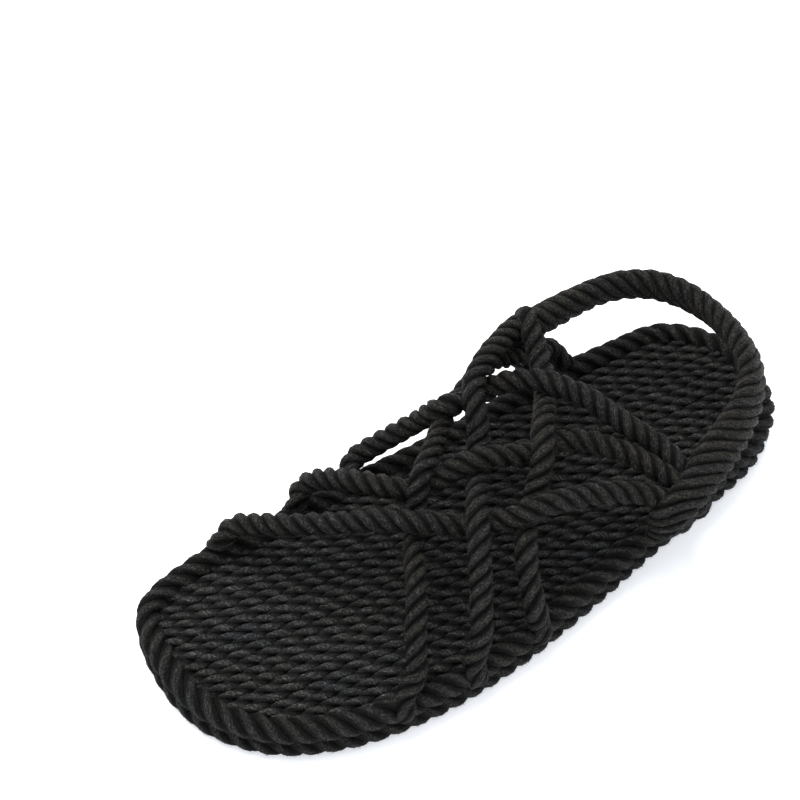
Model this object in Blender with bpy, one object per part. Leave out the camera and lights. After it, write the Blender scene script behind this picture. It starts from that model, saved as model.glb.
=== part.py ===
"""Rope sandal for the left foot, built from laid rope.

Worked in millimetres and turned into metres as each mesh is made. Up is +Z, the toe points to -Y,
the outer side of the foot is +X. The origin is on the floor, under the middle of the sandal.
"""
import math

import bmesh
import bpy
import numpy as np

MM = 0.001
GAP = 0.3

# Rope of the borders and of the lacing: three strands laid together
ROPE_RADIUS = 4.6
ROPE_STRANDS = 3
BORDER_LAY = 22.5
LACING_LAY = 19.0
GROOVE = 0.78

# Sole: two mats, each with one rope round its edge
BORDER_BOTTOM_RADIUS = 4.3
BORDER_BOTTOM_HEIGHT = 4.3
BORDER_BOTTOM_LAY = 25.5
BORDER_TOP_HEIGHT = 13.5
MAT_INSET = 2.0 * ROPE_RADIUS + GAP
ROW_PITCH = 4.12
ROW_COUNT = 24
ROW_MIDDLE = 5.0
ROW_CROWN = 0.44
ROW_GROOVE = 1.2
FOOTBED_UNDER = 8.95
FOOTBED_TOP = 14.9
OUTSOLE_TOP = 8.65
OUTSOLE_FLAT = 0.6
OUTSOLE_GROOVE = 1.0
MAT_SIDE_STEPS = 64
MAT_TRIM_MARGIN = 5.0

# Fineness of the working curves, and the distance within which points of a joined solid are merged
EDGE_POINTS = 900
EDGE_THINNING = 9
SPLINE_PARTS = 24
MERGE = 0.002

# Heel strap: six strands laid into a flat oval band
BAND_WIDE = 8.3
BAND_THIN = 4.5
BAND_STRANDS = 6
BAND_LAY = 36.0
BAND_SQUARENESS = 0.75

# Edge of the sole, one row for each station round it, starting behind the heel
# columns: across, along
SOLE_EDGE = (
    (0.0, 133.1),
    (17.6, 125.2),
    (27.7, 110.7),
    (34.0, 87.8),
    (41.4, 50.0),
    (49.6, 10.9),
    (55.2, -26.3),
    (55.3, -61.5),
    (49.8, -90.2),
    (37.7, -113.8),
    (17.8, -129.5),
    (-6.0, -134.0),
    (-31.7, -128.2),
    (-41.5, -99.5),
    (-41.8, -66.0),
    (-42.8, -30.3),
    (-42.7, 6.7),
    (-45.0, 44.7),
    (-45.0, 84.5),
    (-40.5, 115.6),
    (-20.1, 132.2),
)

# How a rope end wraps the top border and is tucked between the two borders
# columns: turn round the border in degrees, reach from its centre, thickness left, width left
FOOT_WRAP = (
    (-52.0, 3.9, 0.40, 0.62),
    (-25.0, 4.1, 0.45, 0.85),
    (5.0, 4.2, 0.50, 1.00),
    (40.0, 4.5, 0.56, 1.00),
    (75.0, 5.3, 0.72, 1.00),
)

# Lacing from the inner side, front rope first, up to the outer knot
# columns: across, along, height
INNER_FRONT = (
    (-38.5, -84.0, 24.5),
    (-31.0, -76.5, 29.5),
    (-22.0, -68.0, 34.0),
    (-12.5, -56.5, 38.5),
    (-3.5, -45.0, 42.5),
    (5.0, -34.5, 44.5),
    (11.0, -24.5, 42.5),
    (15.5, -16.0, 41.0),
    (20.5, -7.5, 44.5),
    (25.0, 2.0, 50.0),
    (29.5, 19.5, 50.5),
    (35.0, 34.5, 48.0),
    (40.5, 44.5, 44.5),
    (43.5, 50.5, 38.5),
    (44.5, 55.0, 30.0),
    (43.0, 56.5, 22.5),
)
INNER_MIDDLE = (
    (-41.0, -54.0, 23.5),
    (-38.0, -49.5, 29.0),
    (-31.0, -45.0, 34.5),
    (-23.0, -40.5, 39.5),
    (-14.5, -34.0, 41.5),
    (-7.5, -24.5, 41.5),
    (-5.5, -16.0, 46.0),
    (-3.5, -9.5, 51.5),
    (-0.5, -3.0, 54.0),
    (3.0, 6.0, 52.5),
    (4.5, 16.0, 50.0),
    (4.0, 24.0, 48.5),
    (8.0, 31.5, 50.0),
    (17.5, 38.5, 52.0),
    (29.0, 47.5, 49.0),
    (38.5, 53.0, 45.5),
    (43.0, 56.5, 42.5),
)
INNER_BACK = (
    (-43.0, -31.5, 21.0),
    (-42.0, -24.5, 26.0),
    (-38.5, -16.0, 33.0),
    (-34.0, -8.0, 41.5),
    (-27.5, -1.0, 53.0),
    (-26.5, 5.5, 51.0),
    (-28.5, 12.5, 47.5),
    (-27.5, 19.5, 50.5),
    (-22.5, 27.0, 55.0),
    (-15.0, 33.5, 58.0),
    (-2.0, 42.0, 57.0),
    (14.0, 49.5, 53.0),
    (24.0, 55.5, 49.5),
    (34.5, 59.0, 45.5),
    (40.5, 61.5, 39.0),
    (42.5, 64.5, 30.0),
    (41.0, 66.0, 22.0),
)

# Lacing from the outer side, front rope first, up to the inner knot
# columns: across, along, height
OUTER_FRONT = (
    (47.0, -61.5, 24.0),
    (36.5, -55.0, 32.0),
    (26.0, -48.0, 38.0),
    (12.5, -40.5, 38.0),
    (3.0, -33.5, 36.5),
    (-3.0, -29.5, 42.0),
    (-8.0, -25.0, 49.0),
    (-13.0, -18.0, 50.0),
    (-20.0, -10.0, 48.0),
    (-28.0, -1.0, 45.5),
    (-32.5, 8.5, 46.5),
    (-35.0, 15.0, 48.0),
    (-38.0, 22.0, 47.5),
    (-40.5, 29.0, 46.0),
    (-41.5, 35.5, 42.0),
    (-42.5, 43.5, 37.5),
    (-44.0, 52.0, 33.0),
    (-46.5, 60.0, 28.0),
    (-47.5, 64.5, 22.0),
)
OUTER_MIDDLE = (
    (47.5, -35.0, 30.0),
    (37.5, -29.0, 38.0),
    (27.5, -23.5, 45.5),
    (17.0, -17.5, 49.0),
    (8.0, -11.5, 48.5),
    (0.0, -5.0, 46.0),
    (-8.0, 0.0, 46.0),
    (-14.0, 4.0, 50.0),
    (-21.0, 6.5, 55.0),
    (-28.0, 10.5, 56.5),
    (-34.0, 18.5, 57.0),
    (-40.0, 30.0, 56.0),
    (-45.0, 42.5, 53.5),
    (-46.5, 52.0, 51.0),
)
OUTER_BACK = (
    (48.5, -12.0, 26.5),
    (40.5, -10.5, 34.5),
    (32.0, -6.5, 40.5),
    (22.5, 0.5, 42.0),
    (16.5, 8.5, 48.5),
    (9.5, 15.0, 56.0),
    (2.0, 20.0, 57.0),
    (-6.0, 27.0, 54.0),
    (-13.5, 33.0, 50.0),
    (-21.5, 38.0, 49.5),
    (-31.0, 42.0, 51.5),
    (-38.5, 44.0, 54.5),
    (-44.0, 45.5, 55.5),
    (-48.5, 48.5, 51.0),
    (-50.0, 51.5, 44.0),
    (-50.0, 54.0, 35.0),
    (-49.0, 56.5, 25.0),
)

# Where each rope end meets the border: the place along the sole of the wrap
# columns: side (+1 outer, -1 inner), along
FEET = {
    "inner_front": (-1, -90.0),
    "inner_middle": (-1, -58.0),
    "inner_back": (-1, -35.0),
    "outer_front": (1, -69.0),
    "outer_middle": (1, -40.0),
    "outer_back": (1, -10.5),
    "outer_knot_front": (1, 57.0),
    "outer_knot_back": (1, 66.5),
    "inner_knot_front": (-1, 57.5),
    "inner_knot_back": (-1, 67.0),
}

# Heel strap from the inner knot round the heel to the outer knot
# columns: across, along, height, lean of the band's top towards the foot in degrees, size left
HEEL_BAND = (
    (-44.5, 44.5, 50.5, 14.0, 0.85),
    (-45.5, 51.0, 49.0, 12.0, 1.08),
    (-46.0, 59.0, 49.0, 12.0, 1.10),
    (-46.0, 70.0, 49.5, 13.0, 1.03),
    (-45.5, 82.0, 49.5, 14.0, 1.0),
    (-42.5, 93.0, 49.5, 15.0, 1.0),
    (-36.5, 102.5, 49.0, 17.0, 1.0),
    (-26.5, 109.5, 48.5, 20.0, 1.0),
    (-14.0, 113.0, 48.0, 26.0, 1.0),
    (-1.0, 113.0, 48.0, 32.0, 1.0),
    (10.0, 110.0, 48.0, 34.0, 1.0),
    (19.0, 104.5, 47.5, 28.0, 1.0),
    (25.5, 97.0, 47.0, 28.0, 1.0),
    (30.0, 89.5, 46.5, 34.0, 1.0),
    (34.0, 81.5, 46.0, 44.0, 1.0),
    (37.0, 74.0, 46.0, 50.0, 1.0),
    (41.0, 64.5, 45.5, 50.0, 1.0),
    (45.5, 55.0, 45.5, 44.0, 1.0),
    (48.0, 47.5, 45.0, 38.0, 0.95),
    (48.0, 40.5, 44.5, 32.0, 0.7),
)


def spline(rows, closed, steps):
    """Evenly spaced points on a smooth curve through the rows, with any further columns carried along."""
    stations = np.array(rows, float)
    spatial = min(3, stations.shape[1])
    if closed:
        stations = np.vstack([stations[-1:], stations, stations[:2]])
    chords = np.linalg.norm(np.diff(stations[:, :spatial], axis=0), axis=1)
    slopes = np.diff(stations, axis=0) / chords[:, None]
    tangents = np.empty_like(stations)
    tangents[0] = slopes[0]
    tangents[-1] = slopes[-1]
    weights = chords[1:, None] / (chords[:-1] + chords[1:])[:, None]
    tangents[1:-1] = slopes[:-1] * weights + slopes[1:] * (1.0 - weights)
    first = 1 if closed else 0
    last = len(stations) - 2 if closed else len(stations) - 1
    dense = []
    for index in range(first, last):
        for part in np.linspace(0.0, 1.0, SPLINE_PARTS, endpoint=False):
            dense.append(hermite(stations, tangents, chords, index, part))
    dense.append(stations[last])
    dense = np.array(dense)
    lengths = np.linalg.norm(np.diff(dense[:, :spatial], axis=0), axis=1)
    travel = np.concatenate([[0.0], np.cumsum(lengths)])
    count = steps(travel[-1])
    marks = np.linspace(0.0, travel[-1], count + 1)
    even = np.stack([np.interp(marks, travel, dense[:, c]) for c in range(dense.shape[1])], axis=1)
    return even[:-1] if closed else even


def hermite(stations, tangents, chords, index, part):
    """One point of a cubic piece between two stations."""
    chord = chords[index]
    square = part * part
    cube = square * part
    return ((2.0 * cube - 3.0 * square + 1.0) * stations[index]
            + (cube - 2.0 * square + part) * chord * tangents[index]
            + (3.0 * square - 2.0 * cube) * stations[index + 1]
            + (cube - square) * chord * tangents[index + 1])


def sole_edge(steps):
    """The sole's edge and its outward normals, seen from above."""
    edge = spline(SOLE_EDGE, True, steps)
    ahead = np.roll(edge, -1, axis=0) - np.roll(edge, 1, axis=0)
    ahead /= np.linalg.norm(ahead, axis=1)[:, None]
    outward = np.stack([-ahead[:, 1], ahead[:, 0]], axis=1)
    return edge, outward


def inset_edge(inset, step):
    """The sole's edge moved inwards, as an even number of evenly spaced points."""
    fine, outward = sole_edge(lambda length: EDGE_POINTS)
    moved = fine - outward * inset
    return spline(moved[::EDGE_THINNING], True, lambda length: 2 * int(round(length / step / 2.0)))


def foot(side, along):
    """The rows of a rope end that wraps the top border, from the tuck upwards.

    columns: across, along, height, three of the squash, width left
    """
    edge, outward = sole_edge(lambda length: EDGE_POINTS)
    candidates = np.where(edge[:, 0] * side > 0.0)[0]
    nearest = candidates[np.argmin(np.abs(edge[candidates, 1] - along))]
    normal = outward[nearest]
    centre = edge[nearest] - normal * ROPE_RADIUS
    rows = []
    for turn, reach, thickness, width in FOOT_WRAP:
        out = math.cos(math.radians(turn))
        up = math.sin(math.radians(turn))
        radial = np.array([normal[0] * out, normal[1] * out, up])
        place = np.array([centre[0], centre[1], BORDER_TOP_HEIGHT]) + radial * reach
        squash = radial * math.sqrt(1.0 - thickness)
        rows.append((*place, *squash, width))
    return rows


def plain(rows):
    """Rows of a route with no squash and full width."""
    return [(*row, 0.0, 0.0, 0.0, 1.0) for row in rows]


def route(start, rows, end=None):
    """A rope's whole route, from its foot on the border along its rows to its other foot, if any."""
    path = foot(*FEET[start]) + plain(rows)
    if end:
        path += foot(*FEET[end])[::-1]
    return path


def frames(places, closed):
    """Two directions square to the path at each place, carried along it without twisting."""
    if closed:
        ahead = np.roll(places, -1, axis=0) - np.roll(places, 1, axis=0)
    else:
        ahead = np.gradient(places, axis=0)
    ahead /= np.linalg.norm(ahead, axis=1)[:, None]
    first = np.cross(ahead[0], (0.0, 0.0, 1.0))
    first /= np.linalg.norm(first)
    sides = [first]
    for direction in ahead[1:]:
        side = sides[-1] - direction * np.dot(sides[-1], direction)
        sides.append(side / np.linalg.norm(side))
    sides = np.array(sides)
    return ahead, sides, np.cross(ahead, sides)


def laid_mesh(name, rings, closed):
    """A closed skin over rings of the same size, its faces cut along the lay of the strands."""
    mesh = bmesh.new()
    corners = [[mesh.verts.new(tuple(corner * MM)) for corner in ring] for ring in rings]
    size = len(corners[0])
    spans = len(corners) if closed else len(corners) - 1
    for k in range(spans):
        here = corners[k]
        there = corners[(k + 1) % len(corners)]
        for j in range(size):
            following = (j + 1) % size
            mesh.faces.new((here[j], here[following], there[following]))
            mesh.faces.new((here[j], there[following], there[j]))
    if not closed:
        for ring, order in ((corners[0], -1), (corners[-1], 1)):
            middle = mesh.verts.new(sum((v.co for v in ring), ring[0].co * 0.0) / size)
            for j in range(size):
                pair = (ring[j], ring[(j + 1) % size])[::order]
                mesh.faces.new((middle, *pair))
    bmesh.ops.recalc_face_normals(mesh, faces=mesh.faces)
    data = bpy.data.meshes.new(name)
    mesh.to_mesh(data)
    mesh.free()
    return data


def strand_factor(k, j):
    """Ridge or groove: the strands move on by one corner at every ring."""
    return 1.0 if (k + j) % 2 == 0 else GROOVE


def rope_rings(path, radius, closed, grow=0.0):
    """Rings of a three-strand rope. A grown rope has no grooves: it cuts the rope's seat."""
    step = LACING_LAY / (2 * ROPE_STRANDS)
    if not closed:
        path = spline(path, False, lambda length: int(round(length / step)))
    places = path[:, :3]
    ahead, sides, rises = frames(places, closed)
    if grow:
        places[0] -= ahead[0] * 2.0 * grow
        places[-1] += ahead[-1] * 2.0 * grow
    corners = 2 * ROPE_STRANDS
    rings = []
    for k, place in enumerate(places):
        squash = path[k, 3:6] * math.sqrt(radius / (radius + grow)) if path.shape[1] > 3 else np.zeros(3)
        width = path[k, 6] if path.shape[1] > 3 else 1.0
        ring = []
        for j in range(corners):
            turn = 2.0 * math.pi * j / corners
            factor = 1.0 if grow else strand_factor(k, j)
            reach = radius * width * factor + grow
            offset = reach * (math.cos(turn) * sides[k] + math.sin(turn) * rises[k])
            offset = offset - squash * np.dot(offset, squash)
            ring.append(place + offset)
        rings.append(ring)
    return rings


def band_rings():
    """Rings of the heel strap, a flat oval with its broad side leaning towards the foot."""
    step = BAND_LAY / (2 * BAND_STRANDS)
    path = spline(HEEL_BAND, False, lambda length: int(round(length / step)))
    places = path[:, :3]
    ahead, _, _ = frames(places, False)
    corners = 2 * BAND_STRANDS
    rings = []
    for k, place in enumerate(places):
        inward = np.cross((0.0, 0.0, 1.0), ahead[k])
        if np.dot(inward[:2], places[:, :2].mean(axis=0) - place[:2]) < 0.0:
            inward = -inward
        lean = math.radians(path[k, 3])
        broad = np.array([0.0, 0.0, math.cos(lean)]) + inward * math.sin(lean)
        broad -= ahead[k] * np.dot(broad, ahead[k])
        broad /= np.linalg.norm(broad)
        thin = np.cross(ahead[k], broad)
        ring = []
        for j in range(corners):
            turn = 2.0 * math.pi * j / corners
            across = math.copysign(abs(math.cos(turn)) ** BAND_SQUARENESS, math.cos(turn))
            through = math.copysign(abs(math.sin(turn)) ** BAND_SQUARENESS, math.sin(turn))
            factor = strand_factor(k, j) * path[k, 4]
            ring.append(place + factor * (BAND_WIDE * across * broad + BAND_THIN * through * thin))
        rings.append(ring)
    return rings


def material(name, colour, roughness):
    """A plain material for one piece."""
    made = bpy.data.materials.new(name)
    made.use_nodes = True
    shader = made.node_tree.nodes["Principled BSDF"]
    shader.inputs["Base Color"].default_value = (*colour, 1.0)
    shader.inputs["Roughness"].default_value = roughness
    return made


def piece(name, data, collection, made=None):
    """An object from a mesh, put in its collection."""
    made_object = bpy.data.objects.new(name, data)
    collection.objects.link(made_object)
    if made:
        data.materials.clear()
        data.materials.append(made)
    return made_object


def drop_chips(mesh):
    """Keep the largest body of a mesh: two seats side by side can cut a loose chip from a rope."""
    bodies = []
    waiting = set(mesh.verts)
    while waiting:
        first = waiting.pop()
        body = {first}
        edge_of_body = [first]
        while edge_of_body:
            vertex = edge_of_body.pop()
            for link in vertex.link_edges:
                other = link.other_vert(vertex)
                if other in waiting:
                    waiting.remove(other)
                    body.add(other)
                    edge_of_body.append(other)
        bodies.append(body)
    bodies.sort(key=len)
    for chip in bodies[:-1]:
        bmesh.ops.delete(mesh, geom=list(chip), context="VERTS")


def combine(name, body, tools, operation):
    """The mesh of a body after it has been joined with, cut by or kept within each tool in turn."""
    for tool in tools:
        change = body.modifiers.new(tool.name, "BOOLEAN")
        change.operation = operation
        change.solver = "EXACT"
        change.object = tool
    bpy.context.view_layer.update()
    graph = bpy.context.evaluated_depsgraph_get()
    data = bpy.data.meshes.new_from_object(body.evaluated_get(graph))
    data.name = name
    mesh = bmesh.new()
    mesh.from_mesh(data)
    bmesh.ops.remove_doubles(mesh, verts=mesh.verts, dist=MERGE * MM)
    bmesh.ops.dissolve_degenerate(mesh, edges=mesh.edges, dist=MERGE * MM)
    drop_chips(mesh)
    bmesh.ops.triangulate(mesh, faces=mesh.faces)
    mesh.to_mesh(data)
    mesh.free()
    return data


def ribbed_mat(name, low, high, ribs_up, collection):
    """A mat of lengthwise rows with its ribs on one face, cut to the sole's edge within the borders."""
    profile = []
    first = ROW_MIDDLE - ROW_PITCH * (ROW_COUNT - 1) / 2.0
    crown = ROW_CROWN if ribs_up else OUTSOLE_FLAT
    depth = ROW_GROOVE if ribs_up else OUTSOLE_GROOVE
    face = high if ribs_up else low
    bed = high - depth if ribs_up else low + depth
    for row in range(ROW_COUNT):
        middle = first + row * ROW_PITCH
        profile.append((middle - ROW_PITCH / 2.0, bed))
        profile.append((middle - ROW_PITCH * crown / 2.0, face))
        profile.append((middle + ROW_PITCH * crown / 2.0, face))
    profile.append((first + (ROW_COUNT - 0.5) * ROW_PITCH, bed))
    back = low if ribs_up else high
    profile.append((profile[-1][0], back))
    profile.append((profile[0][0], back))
    reach = 150.0
    mesh = bmesh.new()
    near = [mesh.verts.new((x * MM, -reach * MM, z * MM)) for x, z in profile]
    far = [mesh.verts.new((x * MM, reach * MM, z * MM)) for x, z in profile]
    for index in range(len(profile)):
        after = (index + 1) % len(profile)
        mesh.faces.new((near[index], near[after], far[after], far[index]))
    mesh.faces.new(near)
    mesh.faces.new(far)
    bmesh.ops.recalc_face_normals(mesh, faces=mesh.faces)
    data = bpy.data.meshes.new(name + "_rows")
    mesh.to_mesh(data)
    mesh.free()
    rows = piece(name + "_rows", data, collection)
    edge = spline(inset_edge(MAT_INSET, ROW_PITCH), True, lambda length: MAT_SIDE_STEPS)
    mesh = bmesh.new()
    floor = [mesh.verts.new((x * MM, y * MM, (low - MAT_TRIM_MARGIN) * MM)) for x, y in edge]
    roof = [mesh.verts.new((x * MM, y * MM, (high + MAT_TRIM_MARGIN) * MM)) for x, y in edge]
    for index in range(len(edge)):
        after = (index + 1) % len(edge)
        mesh.faces.new((floor[index], floor[after], roof[after], roof[index]))
    mesh.faces.new(floor)
    mesh.faces.new(roof)
    bmesh.ops.recalc_face_normals(mesh, faces=mesh.faces)
    data = bpy.data.meshes.new(name + "_outline")
    mesh.to_mesh(data)
    mesh.free()
    outline = piece(name + "_outline", data, collection)
    return combine(name, rows, [outline], "INTERSECT")


def border_path(height, lay):
    """The centre line of a border rope, with its strands' lay in whole turns round the sole."""
    ring = inset_edge(ROPE_RADIUS, lay / (2 * ROPE_STRANDS))
    return np.column_stack([ring, np.full(len(ring), height)])


def clear(collection):
    """Remove the working shapes of a collection."""
    for item in list(collection.objects):
        bpy.data.objects.remove(item)


def build():
    """The five pieces of the sandal."""
    for item in list(bpy.data.objects):
        bpy.data.objects.remove(item)
    parts = bpy.data.collections.new("rope_sandal")
    work = bpy.data.collections.new("working_shapes")
    bpy.context.scene.collection.children.link(parts)
    bpy.context.scene.collection.children.link(work)
    charcoal = (0.018, 0.018, 0.019)
    cords = {
        "inner_front": route("inner_front", INNER_FRONT, "outer_knot_front"),
        "inner_middle": route("inner_middle", INNER_MIDDLE),
        "inner_back": route("inner_back", INNER_BACK, "outer_knot_back"),
        "outer_front": route("outer_front", OUTER_FRONT, "inner_knot_back"),
        "outer_middle": route("outer_middle", OUTER_MIDDLE),
        "outer_back": route("outer_back", OUTER_BACK, "inner_knot_front"),
    }
    ropes = []
    seats = []
    for name, path in cords.items():
        ropes.append(piece(name, laid_mesh(name, rope_rings(path, ROPE_RADIUS, False), False), work))
        grown = laid_mesh(name + "_seat", rope_rings(path, ROPE_RADIUS, False, GAP), False)
        seats.append(piece(name + "_seat", grown, work))
    band = piece("heel_band", laid_mesh("heel_band", band_rings(), False), work)
    upper = combine("upper", band, ropes, "UNION")
    top_path = border_path(BORDER_TOP_HEIGHT, BORDER_LAY)
    top_rope = piece("top_rope", laid_mesh("top_rope", rope_rings(top_path, ROPE_RADIUS, True), True), work)
    border_top = combine("border_top", top_rope, seats, "DIFFERENCE")
    bottom_path = border_path(BORDER_BOTTOM_HEIGHT, BORDER_BOTTOM_LAY)
    border_bottom = laid_mesh("border_bottom", rope_rings(bottom_path, BORDER_BOTTOM_RADIUS, True), True)
    footbed = ribbed_mat("footbed", FOOTBED_UNDER, FOOTBED_TOP, True, work)
    outsole = ribbed_mat("outsole", 0.0, OUTSOLE_TOP, False, work)
    clear(work)
    finished = []
    for name, data, roughness in (
        ("outsole", outsole, 0.9),
        ("border_bottom", border_bottom, 0.88),
        ("footbed", footbed, 0.92),
        ("border_top", border_top, 0.87),
        ("upper", upper, 0.86),
    ):
        finished.append(piece(name, data, parts, material(name, charcoal, roughness)))
    corners = np.array([v.co for item in finished for v in item.data.vertices])
    middle = (corners.min(axis=0) + corners.max(axis=0)) / 2.0
    floor = corners.min(axis=0)[2]
    for item in finished:
        for vertex in item.data.vertices:
            vertex.co.x -= middle[0]
            vertex.co.y -= middle[1]
            vertex.co.z -= floor
    print("moved by", middle[0] / MM, middle[1] / MM, floor / MM)


build()
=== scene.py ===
"""Rope sandal for the left foot: the visual scene, with every rope laid up from its strands."""
import math

import bpy
import numpy as np
from mathutils import Matrix, Vector


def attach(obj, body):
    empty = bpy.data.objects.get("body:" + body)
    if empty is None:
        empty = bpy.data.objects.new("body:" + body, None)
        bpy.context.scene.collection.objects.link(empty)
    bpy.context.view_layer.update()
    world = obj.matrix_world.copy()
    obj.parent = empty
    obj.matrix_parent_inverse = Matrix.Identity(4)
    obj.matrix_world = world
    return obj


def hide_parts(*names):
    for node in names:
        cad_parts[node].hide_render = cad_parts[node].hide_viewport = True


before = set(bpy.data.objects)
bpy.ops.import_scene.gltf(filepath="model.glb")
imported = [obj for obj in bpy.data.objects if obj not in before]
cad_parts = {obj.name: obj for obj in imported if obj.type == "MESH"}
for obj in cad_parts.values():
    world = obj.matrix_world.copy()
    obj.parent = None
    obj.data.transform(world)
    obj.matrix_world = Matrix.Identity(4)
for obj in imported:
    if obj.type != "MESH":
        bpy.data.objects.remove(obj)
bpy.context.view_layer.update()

MM = 0.001
# Draws for the strands' tones and the rows' starts, and draws for roughness and loose fibres
RNG = np.random.RandomState(7)
FRAY = np.random.default_rng(11)

# The part's own sizes in millimetres. A lay is the length in which a strand goes round once.
ROPE_RADIUS = 4.6
BORDER_LAY = 22.5
LACING_LAY = 17.0
BORDER_BOTTOM_RADIUS = 4.3
BORDER_BOTTOM_HEIGHT = 4.3
BORDER_TOP_HEIGHT = 13.5
MAT_INSET = 2.0 * ROPE_RADIUS + 0.1
ROW_PITCH = 4.12
ROW_COUNT = 24
ROW_MIDDLE = 5.0
ROW_LAY = 14.86
ROW_RADIUS = 2.45
FOOTBED_MIDDLE = 12.6
BAND_WIDE = 8.3
BAND_THIN = 4.5
BAND_LAY = 36.0
BAND_STRAND_RADIUS = 2.14
KNOT_FILL_RADIUS = 4.2
KNOT_FILL_LAY = 26.0
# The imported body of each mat: lowest height, highest height
FOOTBED_PLATE = (8.95, 12.6)
OUTSOLE_PLATE = (2.4, 8.65)
PLATE_INSET = 8.2
# How far the rows reach under the border, and the shortest row that is laid
ROW_TUCK = 1.6
SHORTEST_ROW = 12.0
# The outer knot's legs hide the join of each border rope: across, along
BORDER_JOIN = (37.0, 58.0)

# How many strands a rope or cord has
ROPE_STRANDS = 3
ROW_STRANDS = 2
BAND_STRANDS = 6
# A lacing rope's strands as shares of its radius: their way out from its middle, and their radius
STRAND_REACH = 0.54
STRAND_RADIUS = 0.465
# The lacing is drawn tighter than the solids' ridges, the front outer rope tightest
FULLNESS = 0.94
FRONT_OUTER_FULLNESS = 0.87
# Pressed strands overlap a little, so no light comes through between them
STRAND_OVERLAP = 1.012
# Turns of the yarns round a strand, per millimetre
YARN_TURN = -0.05
BORDER_YARN_TURN = -0.045
ROW_YARN_TURN = -0.07
# The fibre pattern counts the way along a strand at this share, which draws it out lengthwise
FIBRE_STRETCH = 0.4
# Spread of the strands' roughness, and the lowest place of a loose fibre, in millimetres
UNEVENNESS = 0.085
FIBRE_FLOOR = 0.1
# Loose fibres: how many a piece has, and the longest in millimetres
LACING_FIBRES = (14000, 2.6)
BORDER_FIBRES = (9000, 2.2)

# Fineness of the meshes
CURVE_STEPS = 24
EDGE_POINTS = 900
EDGE_THINNING = 9
PLATE_POINTS = 120
STRAND_CORNERS = 12
LACING_STEPS_PER_LAY = 16
BORDER_STEPS_PER_LAY = 22
BAND_STEP = 1.3
KNOT_FILL_STEP = 1.2
OVAL_POINTS = 721

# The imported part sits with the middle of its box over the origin: across, along, height
SHIFT = np.array([-1.324, 0.138, 0.0])

# All tables are in millimetres. Across grows to the outer side, along grows to the heel.
# columns: across, along
SOLE_EDGE = (
    (0.0, 133.1),
    (17.6, 125.2),
    (27.7, 110.7),
    (34.0, 87.8),
    (41.4, 50.0),
    (49.6, 10.9),
    (55.2, -26.3),
    (55.3, -61.5),
    (49.8, -90.2),
    (37.7, -113.8),
    (17.8, -129.5),
    (-6.0, -134.0),
    (-31.7, -128.2),
    (-41.5, -99.5),
    (-41.8, -66.0),
    (-42.8, -30.3),
    (-42.7, 6.7),
    (-45.0, 44.7),
    (-45.0, 84.5),
    (-40.5, 115.6),
    (-20.1, 132.2),
)
# columns: turn round the border in degrees, reach from its centre, thickness left, width left
FOOT_WRAP = (
    (-52.0, 3.9, 0.40, 0.62),
    (-25.0, 4.1, 0.45, 0.85),
    (5.0, 4.2, 0.50, 1.00),
    (40.0, 4.5, 0.56, 1.00),
    (75.0, 5.3, 0.72, 1.00),
)
# columns: across, along, height
INNER_FRONT = (
    (-38.5, -84.0, 24.5),
    (-31.0, -76.5, 29.5),
    (-22.0, -68.0, 34.0),
    (-12.5, -56.5, 38.5),
    (-3.5, -45.0, 42.5),
    (5.0, -34.5, 44.5),
    (11.0, -24.5, 42.5),
    (15.5, -16.0, 41.0),
    (20.5, -7.5, 44.5),
    (25.0, 2.0, 50.0),
    (29.5, 19.5, 50.5),
    (35.0, 34.5, 48.0),
    (40.5, 44.5, 44.5),
    (43.5, 50.5, 38.5),
    (44.5, 55.0, 30.0),
    (43.0, 56.5, 22.5),
)
INNER_MIDDLE = (
    (-41.0, -54.0, 23.5),
    (-38.0, -49.5, 29.0),
    (-31.0, -45.0, 34.5),
    (-23.0, -40.5, 39.5),
    (-14.5, -34.0, 41.5),
    (-7.5, -24.5, 41.5),
    (-5.5, -16.0, 46.0),
    (-3.5, -9.5, 51.5),
    (-0.5, -3.0, 54.0),
    (3.0, 6.0, 52.5),
    (4.5, 16.0, 50.0),
    (4.0, 24.0, 48.5),
    (8.0, 31.5, 50.0),
    (17.5, 38.5, 52.0),
    (29.0, 47.5, 49.0),
    (38.5, 53.0, 45.5),
    (43.0, 56.5, 42.5),
)
INNER_BACK = (
    (-43.0, -31.5, 21.0),
    (-42.0, -24.5, 26.0),
    (-38.5, -16.0, 33.0),
    (-34.0, -8.0, 41.5),
    (-27.5, -1.0, 53.0),
    (-26.5, 5.5, 51.0),
    (-28.5, 12.5, 47.5),
    (-27.5, 19.5, 50.5),
    (-22.5, 27.0, 55.0),
    (-15.0, 33.5, 58.0),
    (-2.0, 42.0, 57.0),
    (14.0, 49.5, 53.0),
    (24.0, 55.5, 49.5),
    (34.5, 59.0, 45.5),
    (40.5, 61.5, 39.0),
    (42.5, 64.5, 30.0),
    (41.0, 66.0, 22.0),
)
OUTER_FRONT = (
    (47.0, -61.5, 24.0),
    (36.5, -55.0, 32.0),
    (26.0, -48.0, 38.0),
    (12.5, -40.5, 38.0),
    (3.0, -33.5, 36.5),
    (-3.0, -29.5, 42.0),
    (-8.0, -25.0, 49.0),
    (-13.0, -18.0, 50.0),
    (-20.0, -10.0, 48.0),
    (-28.0, -1.0, 45.5),
    (-32.5, 8.5, 46.5),
    (-35.0, 15.0, 48.0),
    (-38.0, 22.0, 47.5),
    (-40.5, 29.0, 46.0),
    (-41.5, 35.5, 42.0),
    (-42.5, 43.5, 37.5),
    (-44.0, 52.0, 33.0),
    (-46.5, 60.0, 28.0),
    (-47.5, 64.5, 22.0),
)
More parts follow.
